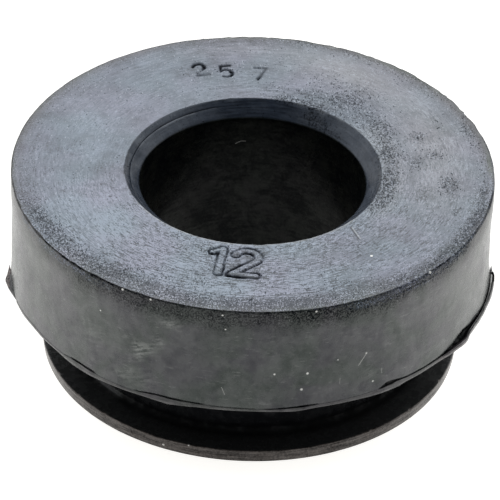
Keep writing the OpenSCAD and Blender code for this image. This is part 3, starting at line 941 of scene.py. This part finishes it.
    white = specks([
        (-10.37, -17.51, 17.26, 0.12), (-8.04, -18.69, 17.19, 0.11), (-12.19, -16.17, 14.09, 0.09), (-10.36, -17.36, 14.97, 0.07),
        (-2.13, -20.24, 16.92, 0.10), (-1.85, -20.24, 15.52, 0.08), (4.97, -19.53, 10.77, 0.13), (2.26, -20.02, 10.94, 0.11),
        (4.52, -19.64, 9.20, 0.13), (5.51, -19.59, 17.13, 0.11), (14.8, -13.9, 17.3, 0.13),
        (-9.94, -17.52, 15.59, 0.07), (10.41, -17.25, 8.49, 0.10), (7.44, -18.72, 11.66, 0.07), (10.75, -17.09, 14.31, 0.08), (-6.79, -16.24, 0.50, 0.13), (-4.65, -16.98, 1.09, 0.13), (-7.21, 8.10, 17.0, 0.13),
        (9.98, -11.88, 17.37, 0.14), (9.78, -17.62, 11.62, 0.10),
    ])
    for scratch, bright in (
        (line((-2.05, -20.05, 9.46), (-1.79, -20.07, 8.77), 0.05), 0.3),
        (line((9.16, -17.95, 10.58), (9.78, -17.62, 11.58), 0.055), 0.4),
        (line((11.10, -16.82, 9.5), (11.12, -16.80, 9.05), 0.09), 0.16),
        (line((10.51, -17.27, 16.5), (10.41, -17.33, 16.0), 0.055), 0.4),
        (line((7.68, -18.63, 9.7), (7.65, -18.64, 9.15), 0.06), 0.2),
        (line((-1.57, 9.39, 13.58), (-1.15, 9.46, 13.81), 0.055), 0.42),
        (line((-1.15, 9.46, 13.81), (-0.72, 9.50, 13.80), 0.055), 0.42),
        (line((8.38, -7.93, 17.37), (9.05, -9.44, 17.37), 0.08), 0.22),
    ):
        white = n.math("MAXIMUM", white, n.math("MULTIPLY", scratch, bright))
    black = specks([(-15.02, -8.96, 17.37, 0.13), (-11.87, -4.46, 17.37, 0.14), (-4.04, -15.84, 17.37, 0.12), (-15.3, -9.1, 17.37, 0.1)])
    black = n.math("MAXIMUM", black, line((8.23, -7.97, 17.37), (8.90, -9.51, 17.37), 0.09))
    colour = n.mix(n.math("MULTIPLY", black, 0.8), colour, (0.012, 0.014, 0.018, 1))
    colour = n.mix(n.math("MULTIPLY", white, 0.85), colour, (0.62, 0.62, 0.60, 1))
    n.put(shader.inputs["Base Color"], colour)

    rough = n.lerp(film, total(0.27, centred(mottle, 0.3)), total(0.5, centred(grain, 0.25)))
    rough = n.math("ADD", rough, n.math("MULTIPLY", m["pitted_and_shaded"], 0.12))
    n.put(shader.inputs["Roughness"], rough)
    shader.inputs["IOR"].default_value = 1.5
    drips = n.noise(n.vec("MULTIPLY", mm, (1.0, 1.0, 0.3)), 1.1, 3.0, 0.6)
    level = n.lerp(film, total(0.47, centred(blotch, 0.5), centred(mottle, 0.25), centred(drips, 0.28)), 0.32)
    level = n.lerp(m["bore"], level, total(0.5, centred(rubbed, 0.07)))
    level = n.math("ADD", level, n.math("MULTIPLY", m["lip"], total(centred(scuff, 1.0), -0.05)))
    level = n.math("ADD", level, n.math("MULTIPLY", m["flash"], total(centred(frayed, 1.3), -0.12)))
    bare_spots = n.math("MULTIPLY", n.math("MULTIPLY", by_rim, n.ramp(y, -18.6, -16.6, 1.0, 0.0)), n.math("MULTIPLY", film, n.ramp(tone, 0.0, 0.7, 1.0, 0.0)))
    for share, less in (
        (bare_spots, 0.17), (pits, 0.36), (m["pitted_and_shaded"], 0.15), (rim_shade_and_lines, 0.2), (m["crev"], 0.42), (dark_dots, 0.24), (m["bore"], 0.42), (m["cone"], 0.16),
        (m["groove"], 0.15), (m["matte"], 0.28),
    ):
        level = n.math("SUBTRACT", level, n.math("MULTIPLY", share, less), clamp=True)
    n.put(shader.inputs["Specular IOR Level"], level)
    sheen = n.mix(n.ramp(shade, 0.38, 0.62), (0.93, 1.0, 0.965, 1), (0.955, 0.965, 1.0, 1))
    sheen = n.mix(m["cone"], sheen, (0.85, 0.92, 1.0, 1))
    sheen = n.mix(m["lip"], sheen, (1.0, 0.945, 0.92, 1))
    sheen = n.mix(n.math("MULTIPLY", m["flash"], 0.8), sheen, (1.0, 0.93, 0.955, 1))
    n.put(shader.inputs["Specular Tint"], sheen)

    # relief too fine for the mesh
    film_relief = total(n.math("MULTIPLY", grain, 1.0), n.math("MULTIPLY", fine, 0.5), n.math("MULTIPLY", streak, 0.4))
    film_relief = n.math("SUBTRACT", film_relief, n.math("MULTIPLY", dark_dots, 0.5))
    bare_relief = total(n.math("MULTIPLY", n.noise(mm, 2.6, 3.0, 0.6), 0.4), n.math("MULTIPLY", fine, 0.12))
    bare_relief = n.math("SUBTRACT", bare_relief, n.math("MULTIPLY", pits, 0.6))
    bare_relief = n.math("ADD", bare_relief, n.math("MULTIPLY", n.math("MULTIPLY", scuff, m["lip"]), 0.9))
    relief = n.lerp(film, bare_relief, film_relief)
    n.put(shader.inputs["Normal"], n.bump(relief, 0.5, 0.00006))
    return mat


body.data.materials.append(rubber_material())
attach(body, "root")
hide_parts("grommet")

# ---------------------------------------------------------------- floor, light and camera


def floor_material():
    mat = bpy.data.materials.new("floor_paper")
    mat.use_nodes = True
    shader = mat.node_tree.nodes["Principled BSDF"]
    n = Nodes(mat.node_tree)
    tex = n.noise(n.new("ShaderNodeTexCoord").outputs["Object"], 900.0, 2.0, 0.5)
    n.put(shader.inputs["Base Color"], n.mix(tex, (0.38, 0.378, 0.372, 1), (0.42, 0.418, 0.412, 1)))
    shader.inputs["Roughness"].default_value = 0.9
    # a light table: translucent white, lit from below, brightest to the left and right of the part
    place = n.vec("SCALE", n.new("ShaderNodeTexCoord").outputs["Object"], scale=1000.0)
    lamps = n.math(
        "ADD",
        n.ramp(n.vec("DISTANCE", place, (-36.0, -14.0, 0.0)), 4.0, 26.0, 1.0, 0.0),
        n.ramp(n.vec("DISTANCE", place, (36.0, -14.0, 0.0)), 4.0, 26.0, 1.0, 0.0),
    )
    split = n.new("ShaderNodeSeparateXYZ")
    n.put(split.inputs[0], place)
    glow = n.math("ADD", n.ramp(split.outputs[1], -6.0, 12.0, 0.92, 0.66), n.math("MULTIPLY", lamps, 0.45))
    shader.inputs["Emission Color"].default_value = (1.0, 0.985, 0.955, 1)
    n.put(shader.inputs["Emission Strength"], glow)
    return mat


bm = bmesh.new()
bmesh.ops.create_circle(bm, cap_ends=True, segments=96, radius=4.0)
floor_mesh = bpy.data.meshes.new("floor")
bm.to_mesh(floor_mesh)
bm.free()
floor = bpy.data.objects.new("floor", floor_mesh)
bpy.context.scene.collection.objects.link(floor)
floor.data.materials.append(floor_material())

scene = bpy.context.scene
scene.view_settings.view_transform = "Standard"
scene.view_settings.look = "None"

# a soft studio: dim on the camera's side, brighter at the back, with a large light high up behind the part
world = bpy.data.worlds.new("studio")
scene.world = world
world.use_nodes = True
wn = Nodes(world.node_tree)
world.node_tree.nodes.clear()
w_out = wn.new("ShaderNodeOutputWorld")
w_bg = wn.new("ShaderNodeBackground")
world.node_tree.links.new(w_bg.outputs[0], w_out.inputs[0])
direction = wn.vec("NORMALIZE", wn.new("ShaderNodeTexCoord").outputs["Generated"])
ws = wn.new("ShaderNodeSeparateXYZ")
wn.put(ws.inputs[0], direction)
back = wn.ramp(ws.outputs[1], -0.45, 0.45, 0.0, 1.0)
softbox = wn.ramp(wn.vec("DOT_PRODUCT", direction, (0.0, 0.42, 0.9075)), 0.62, 0.93, 0.0, 2.6)
strength = wn.math("ADD", wn.math("ADD", 0.22, back), softbox)
wn.put(w_bg.inputs["Color"], (0.98, 0.99, 1.0, 1))
wn.put(w_bg.inputs["Strength"], strength)

# the camera stands where the view's ellipses put it: its distance and elevation from the centre of the top face, and its aim
E, D, F, ROLL, U0, V0 = 34.726, 25.318 * 20.26, 6102.17, -1.719, 252.551, 169.364
e = math.radians(E)
place = np.array([0, -math.cos(e), math.sin(e)]) * D
forward = -place / np.linalg.norm(place)
right = np.array([1.0, 0, 0])
up = np.cross(right, forward)
aim = np.array([(U0 - 249.5) / F, -(V0 - 249.5) / F, 1.0])
aim /= np.linalg.norm(aim)
axis = np.cross([0, 0, 1.0], aim)
s, c = np.linalg.norm(axis), aim[2]
kx, ky, kz = axis / s
K = np.array([[0, -kz, ky], [kz, 0, -kx], [-ky, kx, 0]])
turn = np.eye(3) + s * K + (1 - c) * K @ K
ro = math.radians(ROLL)
roll = np.array([[math.cos(ro), -math.sin(ro), 0], [math.sin(ro), math.cos(ro), 0], [0, 0, 1]])
axes = turn @ roll @ np.stack([right, up, forward])
pose = np.eye(4)
pose[:3, 0], pose[:3, 1], pose[:3, 2] = axes[0], axes[1], -axes[2]
pose[:3, 3] = (place + np.array([0, 0, H])) * MM
cam = bpy.data.cameras.new("camera")
cam.sensor_width = 36.0
cam.lens = F / 500 * 36.0
cam.clip_start, cam.clip_end = 0.02, 50.0
camera = bpy.data.objects.new("camera", cam)
camera.matrix_world = Matrix(pose.tolist())
scene.collection.objects.link(camera)
scene.camera = camera

bpy.context.view_layer.update()
